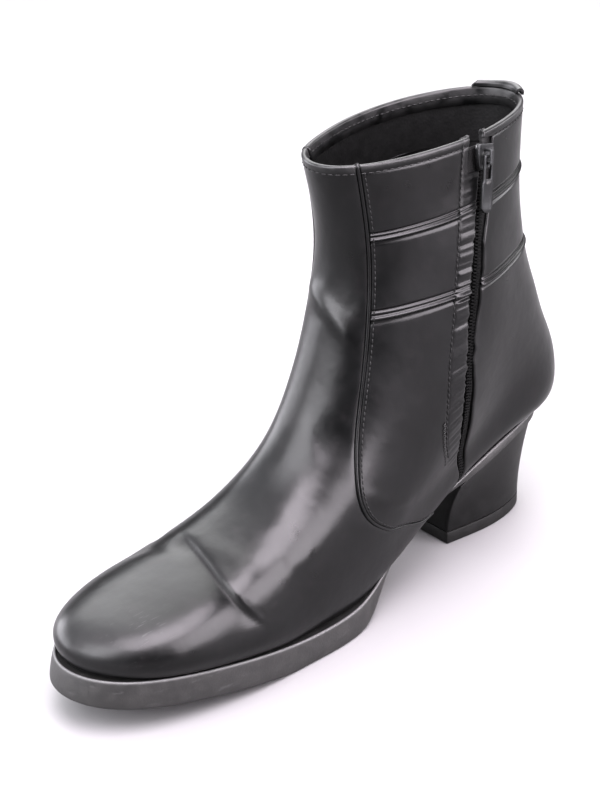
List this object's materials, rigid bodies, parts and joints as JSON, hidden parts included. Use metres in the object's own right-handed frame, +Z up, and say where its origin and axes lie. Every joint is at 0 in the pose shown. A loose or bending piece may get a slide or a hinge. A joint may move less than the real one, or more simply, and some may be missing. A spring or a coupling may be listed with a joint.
{
  "type": "heeled boot",
  "caption": "Right ankle boot in black leather with a tapered block heel, thick rubber sole with a ledge, raised panel seams and a zip on the inner side with a swinging pull tab.",
  "frame": {"origin": "on the floor, under the middle of the boot's bounding box", "axes": "+X from heel to toe, +Y to the wearer's inner side, +Z up"},
  "size_m": [0.2838, 0.0914, 0.2086],
  "materials": {
    "black_leather": "smooth semi-gloss black calf, worn and creased over the vamp",
    "sole_rubber": "matt black moulded rubber",
    "lining": "matt black lining leather",
    "heel_cover": "satin black heel block",
    "zip_tape": "black woven tape",
    "zip_metal": "dark gunmetal, scratched at the edges"
  },
  "bodies": {
    "boot": {"upper": "black_leather", "outsole": "sole_rubber", "insole": "lining", "heel": "heel_cover", "heel_top_piece": "sole_rubber", "zip_chain": "zip_tape", "zip_slider": "zip_metal", "pull_loop": "black_leather"},
    "zip_pull": {"zip_pull": "zip_metal"}
  },
  "joints": [
    {"name": "pull_swing", "type": "hinge", "parent": "boot", "child": "zip_pull", "pos_m": [-0.07278, 0.03721, 0.19405], "axis": [0.9791, 0.0359, 0.2], "range_deg": [0, 165]}
  ]
}
